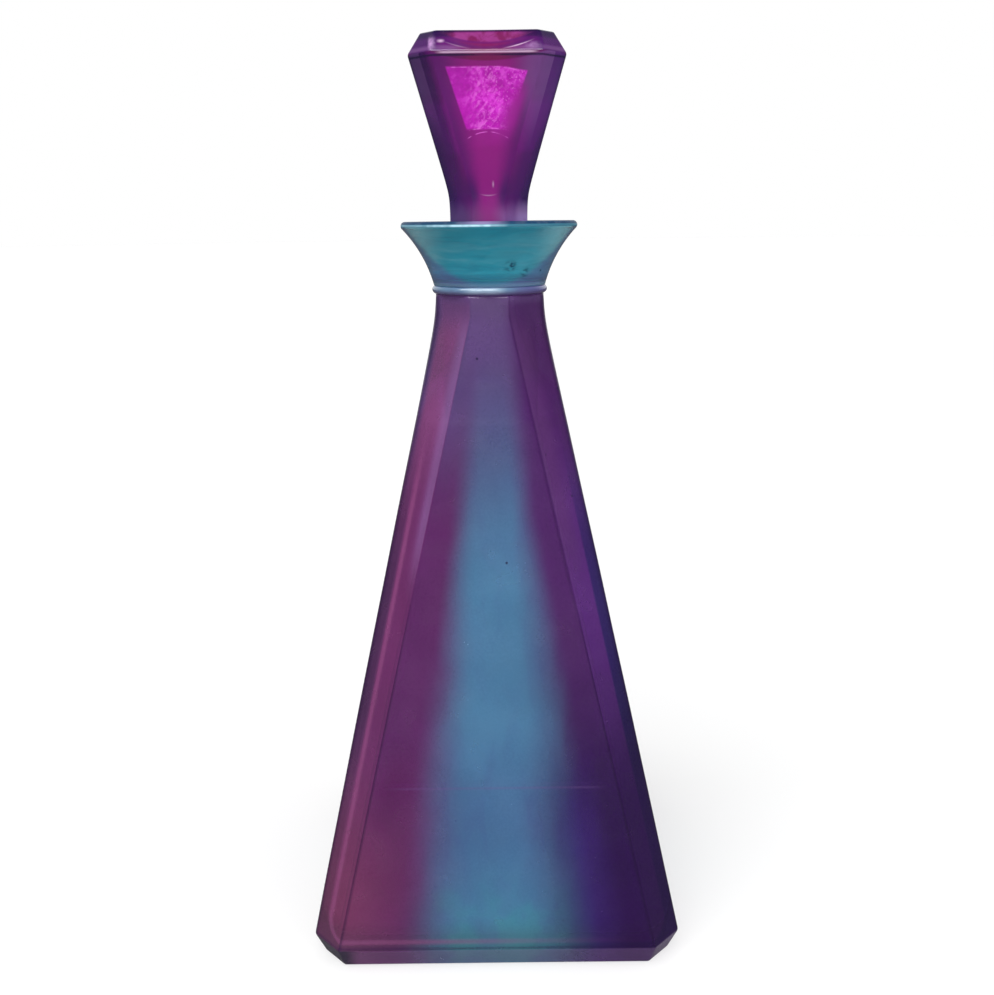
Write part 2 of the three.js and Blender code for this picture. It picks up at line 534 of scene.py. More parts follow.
class Shader:
    """The node tree of a material or a world, written with short calls."""

    def __init__(self, owner: bpy.types.Material | bpy.types.World) -> None:
        """Takes the owner's node tree and empties it."""
        self.owner = owner
        owner.use_nodes = True
        self.tree = owner.node_tree
        self.tree.nodes.clear()

    def feed(self, socket: bpy.types.NodeSocket, value: Input) -> None:
        """Links a socket to a value, or sets it.

        Args:
            socket: The socket.
            value: A field, a number, a point or a colour.
        """
        if isinstance(value, Field):
            self.tree.links.new(value.socket, socket)
        elif isinstance(value, tuple) and socket.type == "RGBA":
            socket.default_value = (*value, 1.0)
        else:
            socket.default_value = value

    def add(self, kind: str, values: dict[int | str, Input], **settings: object) -> bpy.types.Node:
        """Adds a node.

        Args:
            kind: Its type.
            values: What goes into its sockets, by their number or name.
            settings: Its properties.

        Returns:
            The node.
        """
        node = self.tree.nodes.new(kind)
        for name, setting in settings.items():
            setattr(node, name, setting)
        for key, value in values.items():
            self.feed(node.inputs[key], value)
        return node

    def result(
        self, kind: str, values: dict[int | str, Input], output: int | str = 0, **settings: object
    ) -> Field:
        """One output of a new node."""
        return Field(self, self.add(kind, values, **settings).outputs[output])

    def blend(self, share: Value, first: Input, second: Input, how: Blend = Blend.MIX) -> Field:
        """The mix of two colours.

        Args:
            share: How much of the second there is, from 0 to 1.
            first: The first colour.
            second: The second colour.
            how: How the second is laid over the first.

        Returns:
            The colour.
        """
        values = {"Factor": share, 6: first, 7: second}
        return self.result("ShaderNodeMix", values, 2, data_type="RGBA", blend_type=how.value)

    def place(self) -> Field:
        """The point of the surface, in metres."""
        return self.result("ShaderNodeTexCoord", {}, "Object")

    def rays(self, *kinds: str) -> Field:
        """Tells some kinds of light rays from the others.

        Args:
            kinds: Their names in a Light Path node.

        Returns:
            1 for rays of any of these kinds, 0 for the others.
        """
        path = self.add("ShaderNodeLightPath", {})
        first, *others = (Field(self, path.outputs[f"Is {kind} Ray"]) for kind in kinds)
        return first.maths("ADD", *others, clamp=True) if others else first

    def bump(self, height: Field, strength: float, distance: float) -> Field:
        """A normal that follows a height."""
        values = {"Strength": strength, "Distance": distance, "Height": height}
        return self.result("ShaderNodeBump", values)

    def principled(self, **values: Input) -> Field:
        """A Principled surface, its sockets named with underscores."""
        named = {name.replace("_", " "): value for name, value in values.items()}
        return self.result("ShaderNodeBsdfPrincipled", named)

    def finish(self, surface: Field) -> bpy.types.Material | bpy.types.World:
        """Links the surface to a new output and returns the owner."""
        world = isinstance(self.owner, bpy.types.World)
        self.add("ShaderNodeOutputWorld" if world else "ShaderNodeOutputMaterial", {"Surface": surface})
        return self.owner

    def glass(self, tint: Colour, **values: Input) -> bpy.types.Material:
        """Finished glass, which lets the light of lamps through to what it covers.

        Args:
            tint: The colour that such light takes on.
            values: What goes into the Principled surface.

        Returns:
            The material.
        """
        glass = self.principled(IOR=1.5, **values)
        clear = self.result("ShaderNodeBsdfTransparent", {0: tint})
        return self.finish(self.result("ShaderNodeMixShader", {0: self.rays("Shadow"), 1: glass, 2: clear}))


@dataclass(frozen=True)
class Taper:
    """A straight eight-sided taper in metres, which the colours on it follow. Pairs are foot and top."""

    heights: tuple[float, float]
    reaches: tuple[float, float]
    faces: tuple[float, float]  # half the lengths of a main face

    def at(self, z: Field, sizes: tuple[float, float]) -> Field:
        """One pair of its sizes at a height, both in millimetres."""
        return z.step(*(length / MM for length in (*self.heights, *sizes)), run=Run.STRAIGHT)

    def side(self, x: Field, z: Field) -> Field:
        """How far out a point is: 0 in the middle of the front, 1 at its edges, 2 at those of the corners.

        Args:
            x: The point's place across the front.
            z: Its height.

        Returns:
            A number from 0 to 2.
        """
        face = self.at(z, self.faces)
        out = abs(x)
        corner = (out - face).maths("DIVIDE", self.at(z, self.reaches) - face, clamp=True)
        return out.maths("DIVIDE", face, clamp=True) + corner


@dataclass(frozen=True)
class Spot:
    """A point of a tapering surface as its colours need it. Its lengths are in millimetres."""

    place: Field  # in metres
    x: Field
    y: Field
    z: Field
    face: Field  # half the length of a main face at its height
    side: Field  # how far out it is, as the taper's side
    right: Field | None = None  # how far it is to the right of the middle of its face


@dataclass(frozen=True)
class BodyColours:
    """The body's colours: plum to indigo across, and a teal band down the middle of each main face.

    Lengths are in millimetres.
    """

    rose: Colour = (0.170, 0.036, 0.150)
    plum: Colour = (0.120, 0.019, 0.134)
    violet: Colour = (0.086, 0.016, 0.138)
    purple: Colour = (0.120, 0.028, 0.215)
    pink: Colour = (0.225, 0.068, 0.200)
    # gleam: a painted highlight beside the hollow's edge, on the left only
    gleam: Colour = (0.36, 0.10, 0.27)
    mauve: Colour = (0.168, 0.084, 0.270)
    lilac: Colour = (0.260, 0.125, 0.320)
    berry: Colour = (0.135, 0.040, 0.185)
    heather: Colour = (0.108, 0.063, 0.190)
    wine: Colour = (0.200, 0.045, 0.130)
    maroon: Colour = (0.105, 0.006, 0.100)
    indigo: Colour = (0.031, 0.003, 0.082)
    night: Colour = (0.018, 0.002, 0.045)
    teal: Colour = (0.074, 0.206, 0.345)
    sea: Colour = (0.062, 0.270, 0.335)
    blue: Colour = (0.070, 0.135, 0.295)
    shoulder: Colour = (0.056, 0.022, 0.205)  # beside the band, low on the right
    # the next three colours are a painted dark reflection, a painted pale reflection and painted light on the
    # foot's bevel
    slate: Colour = (0.045, 0.035, 0.075)
    pale_reflection: Colour = (0.36, 0.30, 0.42)
    bevel_painted_light: Colour = (0.110, 0.055, 0.140)  # added along the bevel
    # painted shade of the wall seen edge-on, with more of it on the right
    edge_shade: Colour = (0.45, 0.90, 0.68)
    right_shade: Colour = (0.55, 0.80, 0.90)
    band: tuple[float, float] = (0.76, 0.22)  # of half a face: no teal beyond, all teal within
    left_lean: float = 0.06  # how much narrower it is on the left
    right_lean: tuple[float, float] = (-0.03, 0.06)  # and on the right, high up and low down
    band_height: tuple[float, float] = (196, 118)  # where the teal starts, and is full
    # the next four sizes place painted shade, a painted highlight and a painted pale line where the hollow
    # shows through the wall
    seen_wall: float = 3.7  # how thick the wall looks from outside
    seen_floor: float = 9.9
    seen_bend: float = 6
    far_floor: float = 58  # where the floor's far edge shows through the near wall
    bevel_top: float = 7.6

    def paint(self, place: Field, taper: Taper) -> Field:
        """The colour at a place, most of which follows the taper's side, negative on the left.

        Args:
            place: The point of the surface.
            taper: The body's outside.

        Returns:
            The colour.
        """
        x, y, z = place.axes()
        face = taper.at(z, taper.faces)
        at = Spot(place, x, y, z, face, x.maths("SIGN") * taper.side(x, z))
        across_flank = abs(y) / face
        aside = across_flank.step(1.0, 0.94) * (abs(y) - abs(x)) + abs(x)
        inside = taper.at(z, taper.reaches) - self.seen_wall - aside
        grain = place.noise(1400, 3) * 0.45 + place.noise(55, 4, 0.5) * 0.55
        grey = grain.ramp({0.35: (0.32, 0.32, 0.32), 0.65: (0.68, 0.68, 0.68)})
        return self.across(at).layered(
            *self.band_layers(at),
            *self.hollow_layers(at, inside),
            *self.corner_layers(at, across_flank),
            *self.bevel_layers(at),
            (grey, 0.25, Blend.SOFT_LIGHT),
        )

    def across(self, at: Spot) -> Field:
        """The colours across the front: paler at the neck, wine at the lower left, indigo at the lower right.

        Args:
            at: The point, its side from -2 to 2.

        Returns:
            The colour.
        """
        z, side = at.z, at.side
        tone = side * 0.25 + 0.5
        middle = tone.ramp({
            0.245: self.rose, 0.255: self.plum, 0.42: self.plum,
            0.58: self.violet, 0.745: self.violet, 0.755: self.purple,
        })
        upper = tone.ramp({
            0.01: self.heather, 0.06: self.pink, 0.24: self.pink,
            0.26: self.heather, 0.62: self.heather, 0.76: self.violet,
        })
        return middle.layered(
            (upper, z.step(135, 180)),
            (self.mauve, abs(side).step(1.0, 0.85) * z.step(177, 192, 0.0, 0.4)),
            (self.mauve, z.step(192, 203, 0.0, 0.6) * side.step(1.0, 0.0, 0.3, 1.0)),
            (self.mauve, z.step(202.5, 205.5, 0.0, 0.7)),
            (self.indigo, side.step(0.0, 0.6) * z.step(112, 50)),
            (self.wine, side.step(-0.3, -1.1) * z.step(75, 18)),
            (self.maroon, side.near(-0.82, 0.24) * z.near(58, 18) * 0.7),
        )

    def band_layers(self, at: Spot) -> list[Layer]:
        """The teal band of each main face, which wanders a little and turns bluer, then greener, lower.

        Args:
            at: The point.

        Returns:
            The layers.
        """
        x, z, place = at.x, at.z, at.place
        least = abs(x).maths("MINIMUM", abs(at.y))
        drift = place.stretched(1.0, 0.25).noise(75, 3, 0.4)
        right_lean = z.step(90, 40, *self.right_lean)
        lean = x.step(-1, 1) * (right_lean - self.left_lean) + self.left_lean
        away = least / at.face + drift * 0.24 + lean - 0.12
        patches = place.noise(70, 3).step(0.42, 0.6, 0.0, 0.6)
        streaks = place.stretched(1.0, 0.3).noise(170, 4, 0.5)
        haze = z.near(48, 34) * 0.5 + streaks.step(0.45, 0.7, 0.0, 0.25)
        teal = place.shader.blend(haze, self.teal, self.blue).to(self.sea, patches * z.step(36, 14))
        beside = away.near(self.band[0] - 0.08, 0.26) * x.step(0, 6) * z.step(80, 36, 0.0, 0.6)
        return [(self.shoulder, beside), (teal, away.step(*self.band) * z.step(*self.band_height))]

    def hollow_layers(self, at: Spot, inside: Field) -> list[Layer]:
        """Painted light and shade from the hollow seen through the wall: painted shade outside its edge,
        darker on the right, a painted highlight beside it on the left, and a painted pale line where its
        floor's far edge would show through.

        The hollow's outline is a straight side and a straight floor joined by an arc. The depth inside it is
        bend - sqrt(max(bend - inside, 0)^2 + max(bend - above, 0)^2).

        Args:
            at: The point.
            inside: How far inside the hollow's straight side it is.

        Returns:
            The layers.
        """
        z, side, bend = at.z, at.side, self.seen_bend
        away = (bend - inside).most(0.0)
        down = (bend - (z - self.seen_floor)).most(0.0)
        depth = bend - (away * away + down * down).maths("SQRT")
        shade = depth.step(0.1, -0.7) * z.step(45, 80, 0.4, 0.9) * z.step(168, 115)
        return [
            # painted shade outside the hollow's edge, more on the right; a painted highlight on the left; a
            # painted pale line for the floor's far edge
            (self.edge_shade, shade, Blend.MULTIPLY),
            (self.right_shade, shade * side.step(0.5, 1.2), Blend.MULTIPLY),
            (self.gleam, depth.near(0.4, 1.3) * side.step(1.0, -1.0, 0.0, 0.6) * z.step(170, 140)),
            (self.mauve, z.near(self.far_floor, 0.7) * abs(side).step(0.95, 0.7, 0.0, 0.3)),
        ]

    def corner_layers(self, at: Spot, across_flank: Field) -> list[Layer]:
        """Painted shade lines along each upright edge and along the outer edges of the cut corners, and high
        up a painted highlight strip by each of the two front edges.

        Args:
            at: The point.
            across_flank: The distance from the middle of a flank, where 1 is its edge.

        Returns:
            The layers.
        """
        z, side = at.z, at.side
        high = z.step(112, 140) * z.step(203, 192)
        low_line = abs(side).near(1.0, 0.026) * z.step(135, 95, 0.0, 0.6)
        high_line = side.near(0.985, 0.05) * z.step(95, 130, 0.0, 0.3)
        outline = abs(side).near(2.0, 0.14) * across_flank.step(0.96, 0.995) * 0.6
        # painted highlight strips by the front edges, and painted shade lines along the edges and silhouettes
        return [
            (self.lilac, side.step(-0.99, -1.03) * side.step(-1.36, -1.08) * high * 0.75),
            (self.berry, side.step(0.98, 1.04) * side.step(1.7, 1.15) * high * 0.7),
            (self.night, low_line.most(high_line, outline)),
        ]

    def bevel_layers(self, at: Spot) -> list[Layer]:
        """A painted lighter foot, most of all on the bevel, with a painted dark reflection at its left
        corner, a painted pale reflection at its right, and a painted shade line along its top edge.

        Args:
            at: The point.

        Returns:
            The layers.
        """
        z, side, top = at.z, at.side, self.bevel_top
        bevel = z.step(top + 0.3, top - 0.4)
        foot = z.step(top + 8, top, 0.0, 0.15) * side.step(0.4, 0.0)
        # painted light on the foot, painted reflections at the bevel's corners, and a painted shade line at
        # its top
        return [
            (self.bevel_painted_light, bevel.most(foot), Blend.ADD),
            (self.slate, bevel * side.step(-0.86, -0.97, 0.0, 0.95)),
            (self.pale_reflection, bevel * side.step(0.95, 1.1, 0.0, 0.5)),
            (self.indigo, z.near(top + 0.6, 0.8) * 0.4),
        ]

@dataclass(frozen=True)
class WallGlass:
    """The body's outer face: glass with colour in it, which shows the coat on its inner face."""

    colours: BodyColours = BodyColours()
    clear: float = 0.5
    roughness: tuple[float, float] = (0.204, 0.276)
    gloss: float = 0.35
    speck: Colour = (0.02, 0.015, 0.05)

    def material(self, taper: Taper) -> bpy.types.Material:
        """The glass on that taper, its gloss a little uneven."""
        s = Shader(bpy.data.materials.new("wall_glass"))
        place = s.place()
        colour = self.colours.paint(place, taper)
        return s.glass(
            (0.8, 0.8, 0.8),
            Base_Color=colour.to(self.speck, place.specks(240, 0.12, 0.05)),
            Roughness=place.noise(110, 4, 0.5).step(0.3, 0.7, *self.roughness),
            Specular_IOR_Level=self.gloss,
            Transmission_Weight=self.clear,
            Normal=s.bump(place.noise(260, 3), 0.06, 0.2 * MM),
        )


@dataclass(frozen=True)
class ColourCoat:
    """The colour on an inner face, paler than the glass in front of it."""

    colours: BodyColours = BodyColours()
    lift: float = 2.2

    def material(self, taper: Taper) -> bpy.types.Material:
        """The coat inside that taper, with fine grain."""
        s = Shader(bpy.data.materials.new("colour_coat"))
        place = s.place()
        colour = self.colours.paint(place, taper)
        grain = place.noise(1400, 3)
        return s.finish(s.principled(
            Base_Color=colour.to((self.lift, self.lift, self.lift), 1.0, Blend.MULTIPLY),
            Roughness=grain.step(0.3, 0.7, 0.25, 0.4),
            Normal=s.bump(grain, 0.15, 0.1 * MM),
        ))


@dataclass(frozen=True)
class CollarGlass:
    """The collar's outer face: blue glass with streaks that run round it and a violet foot, with painted
    light at its sides and low on its right, and a painted shade line under the rim's top.
    """

    blue: Colour = (0.055, 0.46, 0.64)
    deep: Colour = (0.040, 0.35, 0.51)
    pale: Colour = (0.24, 0.64, 0.80)
    # mist and white are colours of painted light; pale is the streaks' colour and also painted light on the
    # right
    mist: Colour = (0.44, 0.84, 0.97)
    violet: Colour = (0.17, 0.27, 0.54)
    white: Colour = (0.56, 0.86, 1.00)
    ink: Colour = (0.01, 0.05, 0.12)
    sea: Colour = (0.045, 0.185, 0.270)
    dusk: Colour = (0.065, 0.098, 0.165)
    dusk_violet: Colour = (0.24, 0.19, 0.38)
    clear: float = 0.7
    scribbles: tuple[Point, ...] = ((6.6 * MM, -20 * MM, 214.6 * MM), (11.5 * MM, -17 * MM, 212.4 * MM))
    scribble_radius: float = 2.8 * MM

    def material(self, foot: float, top: float) -> bpy.types.Material:
        """The glass.

        Args:
            foot: Height of the collar's foot, in millimetres.
            top: Height of its rim.

        Returns:
            The material.
        """
        s = Shader(bpy.data.materials.new("collar_glass"))
        place = s.place()
        x, _, z = place.axes()
        streaks = place.stretched(0.14, 1.0).noise(560, 3, 0.3)
        below = (z - x * 0.16 - (top - 5.3)).step(0.5, -0.5)
        bowl = z - x * x * 0.026
        line = z - x.step(6, 16, top - 0.9, top - 1.5)
        colour = streaks.ramp({0.22: self.deep, 0.5: self.blue, 0.9: self.pale}).layered(
            (self.deep, z.step(foot + 10, foot + 3, 0.0, 0.7)),
            # painted light: paler on the right below a slanting line, and at both sides
            (self.pale, below * x.step(-4, 16, 0.0, 0.3)),
            (self.mist, abs(x).step(12, 23)),
            (self.violet, (bowl + streaks * 1.5).step(foot + 2.6, foot)),
            (self.mist, z.step(foot + 1.6, foot + 0.4, 0.0, 0.4)),
            # painted shade: a dark line just below the rim's top
            (self.ink, line.step(-0.3, 0.3) * 0.85),
            (self.ink, self.scribbled(place)),
        )
        return s.glass(
            (0.9, 0.9, 0.9),
            Base_Color=colour,
            Roughness=streaks.step(0.3, 0.7, 0.06, 0.16),
            Transmission_Weight=self.clear,
            Normal=s.bump(streaks, 0.15, 0.3 * MM),
        )

    def rim_material(self, top: float) -> bpy.types.Material:
        """The rim's glass, dark along its edge as painted shade, with a violet stretch at its front and a
        painted bright highlight under it.

        Args:
            top: Height of the rim, in millimetres.

        Returns:
            The material.
        """
        s = Shader(bpy.data.materials.new("rim_glass"))
        place = s.place()
        x, y, z = place.axes()
        below = top - z
        streaks = place.noise(260, 3, 0.5)
        uneven = place.stretched(1.0, 0.2).noise(230, 2).step(0.35, 0.55, 0.45, 1.0)
        # painted highlight under the rim, stronger towards the left
        highlight_sweep = x.step(6, 2) * x.step(-24, -11, 0.3, 1.0) * uneven
        colour = (streaks * 0.9 - abs(x) * 0.005).ramp({0.35: self.ink, 0.6: self.dusk}).layered(
            (self.dusk_violet, x.near(-2, 9) * y.step(-10, -20)),
            (self.sea, below.step(0.7, 1.0)),
            (self.white, below.near(1.2, 0.5) * y.step(0, -8) * highlight_sweep),
        )
        return s.glass(
            (0.7, 0.7, 0.7),
            Base_Color=colour,
            Roughness=streaks.step(0.3, 0.7, 0.38, 0.5),
            Specular_IOR_Level=0.06,
            Transmission_Weight=0.15,
        )

    def scribbled(self, place: Field) -> Field:
        """The thin dark marks of two small patches, and a few specks.

        Args:
            place: The point of the surface.

        Returns:
            1 in a mark, 0 elsewhere.
        """
        first, second = (place.round_patch(middle, self.scribble_radius) for middle in self.scribbles)
        marks = place.noise(380, 2, 1.3).near(0.5, 0.12) * first.most(second)
        return marks.most(place.specks(260, 0.14, 0.06))


@dataclass(frozen=True)
class FunnelCoat:
    """The teal colour inside the collar, laid on in strokes that run round it."""

    teal: Colour = (0.07, 0.80, 0.88)
    deep: Colour = (0.04, 0.58, 0.68)
    pale: Colour = (0.30, 0.92, 0.95)
    foot: Colour = (0.30, 0.34, 0.72)

    def material(self, floor: float) -> bpy.types.Material:
        """The coat.

        Args:
            floor: Height of the funnel's floor in millimetres. The foot's colour takes over below it.

        Returns:
            The material.
        """
        s = Shader(bpy.data.materials.new("funnel_coat"))
        place = s.place()
        _, _, z = place.axes()
        streaks = place.stretched(0.2, 1.0).noise(300, 4, 0.8)
        colour = streaks.ramp({0.32: self.deep, 0.5: self.teal, 0.7: self.pale})
        return s.finish(s.principled(
            Base_Color=colour.to(self.foot, z.step(floor - 0.3, floor - 0.6)),
            Roughness=streaks.step(0.3, 0.7, 0.15, 0.3),
            Normal=s.bump(streaks, 0.25, 0.3 * MM),
        ))


@dataclass(frozen=True)
class ThreadGlass:
    """The thread of glass round the neck: blue above, violet and darker below as painted shade on its
    underside, with a painted white highlight at its front.
    """

    # white: the colour of the painted highlight
    white: Colour = (0.46, 0.64, 0.80)
    blue: Colour = (0.17, 0.30, 0.46)
    mauve: Colour = (0.14, 0.16, 0.38)
    violet: Colour = (0.08, 0.04, 0.16)
    clear: float = 0.3

    def material(self, foot: float, top: float) -> bpy.types.Material:
        """The glass, with its two heights.

        Args:
            foot: Height of the thread's underside, in millimetres.
            top: Height of its top.

        Returns:
            The material.
        """
        s = Shader(bpy.data.materials.new("thread_glass"))
        place = s.place()
        x, _, z = place.axes()
        streaks = place.stretched(0.3, 1.0).noise(700, 2, 0.6)
        upper = s.blend(x.step(4, 12), self.blue, self.mauve)
        # painted white highlight at the front
        upper = upper.to(self.white, abs(x + 1.6).step(7.5, 3, 0.0, 0.9))
        return s.glass(
            (0.6, 0.6, 0.6),
            # violet below: darker there as painted shade on the underside
            Base_Color=s.blend((z + streaks * 0.6).step(foot + 0.3, top), self.violet, upper),
            Roughness=streaks.step(0.3, 0.7, 0.07, 0.15),
            Specular_IOR_Level=0.8,
            Transmission_Weight=self.clear,
            Normal=s.bump(streaks, 0.15, 0.2 * MM),
        )


@dataclass(frozen=True)
class StopperGlass:
    """Solid glass, magenta through the middle of its faces and indigo along its cut corners.

    A bright crazed heart is painted in each main face: a patch of colour and of painted light through the
    glass, which widens upwards and is sharp on its left. Lengths are in millimetres.
    """

    # the heart's colours, with its painted light and painted shade; fleck also paints its highlight lines,
    # glow its dim painted glow
    bright: Colour = (0.76, 0.05, 0.71)
    heart: Colour = (0.58, 0.012, 0.53)
    shadow: Colour = (0.47, 0.008, 0.43)
    fleck: Colour = (0.95, 0.20, 0.88)
    glow: Colour = (0.33, 0.014, 0.28)
    magenta: Colour = (0.280, 0.010, 0.212)
    purple: Colour = (0.118, 0.007, 0.145)
    dusk: Colour = (0.062, 0.008, 0.118)
    indigo: Colour = (0.032, 0.010, 0.088)
    night: Colour = (0.010, 0.004, 0.048)
    violet: Colour = (0.13, 0.035, 0.25)
    wine: Colour = (0.19, 0.010, 0.095)
    rose: Colour = (0.30, 0.035, 0.22)
    lilac: Colour = (0.11, 0.062, 0.19)
    orchid: Colour = (0.26, 0.120, 0.35)
    mist: Colour = (0.42, 0.240, 0.52)
    # haze and pale: colours of painted highlights
    haze: Colour = (0.56, 0.33, 0.64)
    pale: Colour = (0.80, 0.55, 0.78)
    heart_heights: tuple[float, float] = (253.8, 270.2)
    heart_halves: tuple[float, float] = (6.1, 11.7)  # half its width at its foot and its top
    # the heart's painted light on the right
    lit_halves: tuple[float, float] = (4.7, 12)  # of the lit part on the right, and its gain
    head_heights: tuple[float, float] = (246, 270)  # where the colours of the head's upper part begin, end
    # glint: where a painted glint lies
    glint: tuple[float, float] = (1.4, 238.6)  # to the right of the middle, and its height
    # lens: depth of the painted shadow under the widest edge
    lens: float = 2.5  # how deep the wine-coloured shadow under the widest edge is
    clear: float = 0.3

    def material(self, taper: Taper) -> bpy.types.Material:
        """The glass of a head with that taper.

        Its colours follow the taper's side, which falls from 2 back to 0 towards the middle of the two faces
        that aren't the front or the back.

        Args:
            taper: The head's outside.

        Returns:
            The material.
        """
        s = Shader(bpy.data.materials.new("stopper_glass"))
        place = s.place()
        x, y, z = place.axes()
        face = taper.at(z, taper.faces)
        inwards = 1.0 - abs(y).maths("DIVIDE", face, clamp=True)
        side = taper.side(x, z) - inwards * 2.0
        right = self.right(x, y)
        at = Spot(place, x, y, z, face, side, right)
        cloud = place.noise(300, 3, 0.8)
        colour = ((side - 0.06 + cloud * 0.12) * 0.5).ramp({
            0.12: self.magenta, 0.50: self.purple, 0.75: self.dusk, 1.0: self.indigo,
        })
        upper = z.step(*self.head_heights)
        left = side.step(1.0, 1.3, 0.0, 0.5) * x.step(-2, -9)
        stem_top, head_top = (height / MM for height in taper.heights)
        colour = colour.layered(
            (self.violet, upper * side.step(0.8, 1.2, 0.0, 0.5) * x.step(-6, 6, 0.1, 1.0)),
            (self.orchid, upper * right.step(6, 13, 0.0, 0.42)),
            (self.night, left * z.step(238, 252, 0.2, 1.0)),
            # painted shade along the silhouette edges
            (self.night, side.near(2.0, 0.16) * z.step(234, 240, 0.0, 0.55)),
            *self.heart_layers(at),
            *self.stem_layers(at, stem_top),
            *self.crown_layers(at, head_top),
        )
        return s.glass(
            (0.85, 0.7, 0.85),
            Base_Color=colour,
            Roughness=cloud.step(0.35, 0.7, 0.16, 0.26),
            Specular_IOR_Level=0.15,
            Transmission_Weight=self.clear,
            Coat_Weight=0.38,
            Coat_Roughness=0.05,
            Normal=s.bump(cloud, 0.08, 0.2 * MM),
        )

    def right(self, x: Field, y: Field) -> Field:
        """How far a point is to the right of the middle of its main face, seen from outside.

        Args:
            x: The point's place across the front.
            y: Its place across the flanks.

        Returns:
            The distance, negative on the left.
        """
        front = abs(x).maths("LESS_THAN", abs(y))
        on_flank = x.maths("SIGN") * y
        return front * (y.maths("SIGN") * x * -1.0 - on_flank) + on_flank

    def heart_layers(self, at: Spot) -> list[Layer]:
        """The heart, painted: a dim painted glow, a crazed bright patch of colour and painted light on it,
        and thin broken painted highlight lines round them.

        Args:
            at: The point.

        Returns:
            The layers.
        """
        place, right, z = at.place, at.right, at.z
        foot, top = self.heart_heights
        rise = z - foot
        share = z.step(foot, top, run=Run.STRAIGHT)
        half = z.step(foot, top, *self.heart_halves, run=Run.STRAIGHT)
        drop = top - z - right.step(3, 12, 0.0, 1.2)
        patch = (abs(right) - half).step(0.4, -0.3) * rise.step(-0.5, 0.5) * drop.step(-0.2, 0.5)
        limit = share * share * self.lit_halves[1] + self.lit_halves[0]
        lit = (right - limit).step(1.8, -3.2)
        crazed = place.noise(210, 2, 0.5) * 0.4 + place.noise(800, 5, 0.2) * 0.6
        strokes = place.tilted(-0.6).stretched(1.0, 0.4).noise(1000, 4, 0.2).step(0.5, 0.68, 0.0, 0.7)
        dots = place.noise(1700, 2).step(0.55, 0.72, 0.0, 0.6)
        heart = crazed.ramp({0.4: self.shadow, 0.5: self.heart, 0.6: self.bright}).layered(
            (self.shadow, right.step(-3, -8, 0.0, 0.5)),
            (self.fleck, strokes * right.near(-0.5, 7)),
            (self.fleck, dots * right.step(-6, 3)),
        )
        square = right * right
        upper = (rise + square * 0.02).near(0.2, 0.28)
        lower = (rise + square * 0.05).near(-0.8, 0.22)
        arcs = upper.most(lower) * abs(right).step(6.2, 5.2)
        broken = place.noise(500, 2).step(0.42, 0.6, 0.0, 0.7)
        return [
            # a painted glow, the heart's colour and painted light, and painted highlight lines round it
            (self.glow, (right - half).step(3.5, -1) * right.step(0, 2) * rise.step(-4, 2) * drop.step(1, 7)),
            (self.glow, patch * lit.most(share.step(0.45, 0.85))),
            (heart, patch * lit),
            (self.fleck, arcs.most(drop.near(0.3, 0.25) * patch) * broken),
        ]

    def stem_layers(self, at: Spot, stem_top: float) -> list[Layer]:
        """The stem, lilac at its edges, dusky patches above it, and a painted glint and a painted pale arc
        low in the head.

        Args:
            at: The point.
            stem_top: The height at which the head begins.

        Returns:
            The layers.
        """
        z, right = at.z, at.right
        stem = (at.x / 20 + 0.5).ramp({
            0.1: self.lilac, 0.5: self.rose, 0.85: self.orchid, 1.0: self.mist,
        })
        uneven = z + at.place.stretched(1.0, 0.3).noise(260, 3) * 4
        # a painted glint and a painted pale arc
        glint = right.near(self.glint[0], 0.4) * z.near(self.glint[1], 1.3) * 0.5
        bow = (z - right * right * 0.06).near(self.glint[1] - 3.2, 0.3) * right.near(0.0, 3) * 0.35
        return [
            (self.dusk, z.near(stem_top + 1.0, 6) * at.side.near(1.0, 0.6) * 0.85),
            (stem, uneven.step(stem_top + 1.5, stem_top - 5, 0.0, 0.8)),
            (self.pale, glint.most(bow)),
        ]

    def crown_layers(self, at: Spot, head_top: float) -> list[Layer]:
        """Painted light and shade round the widest edge: a wine-coloured painted shadow and a dark painted
        line under it, a painted highlight along it, and the crown with painted highlights, painted shade
        lines and the dish painted as it shows through.

        Args:
            at: The point.
            head_top: The height of the widest edge.

        Returns:
            The layers.
        """
        s, place, right = at.place.shader, at.place, at.right
        rise = at.z - head_top
        square = right * right
        bowl = rise - square * 0.0165
        far = abs(right)
        wine = s.blend(far.step(3, 10, 0.0, 0.5), self.wine, self.dusk)
        # painted highlights on the crown
        light = at.side.near(1.0, 0.13) * at.x.step(0, -2) * rise.near(2.4, 3)
        shine = right.near(12.8, 3.2) * at.x.step(0, 2) * rise.near(1.5, 1.5) * 0.45
        speckled = place.noise(1100, 3).step(0.35, 0.6, 0.45, 1.0)
        dish = s.blend(place.noise(260, 3, 0.6).step(0.38, 0.62), self.wine, self.rose)
        ends = right.near(8.8, 5).most(right.near(-8.5, 5) * 0.25)
        spark = right.near(-13, 1.4) * rise.near(2.9, 0.7)
        # on the crown: painted highlights, painted shade lines and the dish painted as it shows through
        crown = at.side.ramp({0.0: self.wine, 0.75: self.purple, 1.0: self.dusk}).layered(
            (self.haze, light.most(shine) * speckled),
            (self.haze, rise.near(0.9, 1.2) * far.step(4, 11, 0.0, 0.14)),
            (self.dusk, bowl.near(0.8, 0.9) * far.step(15, 11, 0.0, 0.5)),
            (dish, bowl.step(2.0, 2.6)),
            (self.purple, bowl.near(2.2, 0.6) * 0.6),
            (self.pale, (bowl.near(0.3, 0.3) * ends).most(spark) * 0.8),
            (self.night, rise.step(5.0, 5.6, 0.0, 0.85)),
            (self.night, rise.step(3.2, 4.6) * far.step(8, 12, 0.0, 0.75)),
        )
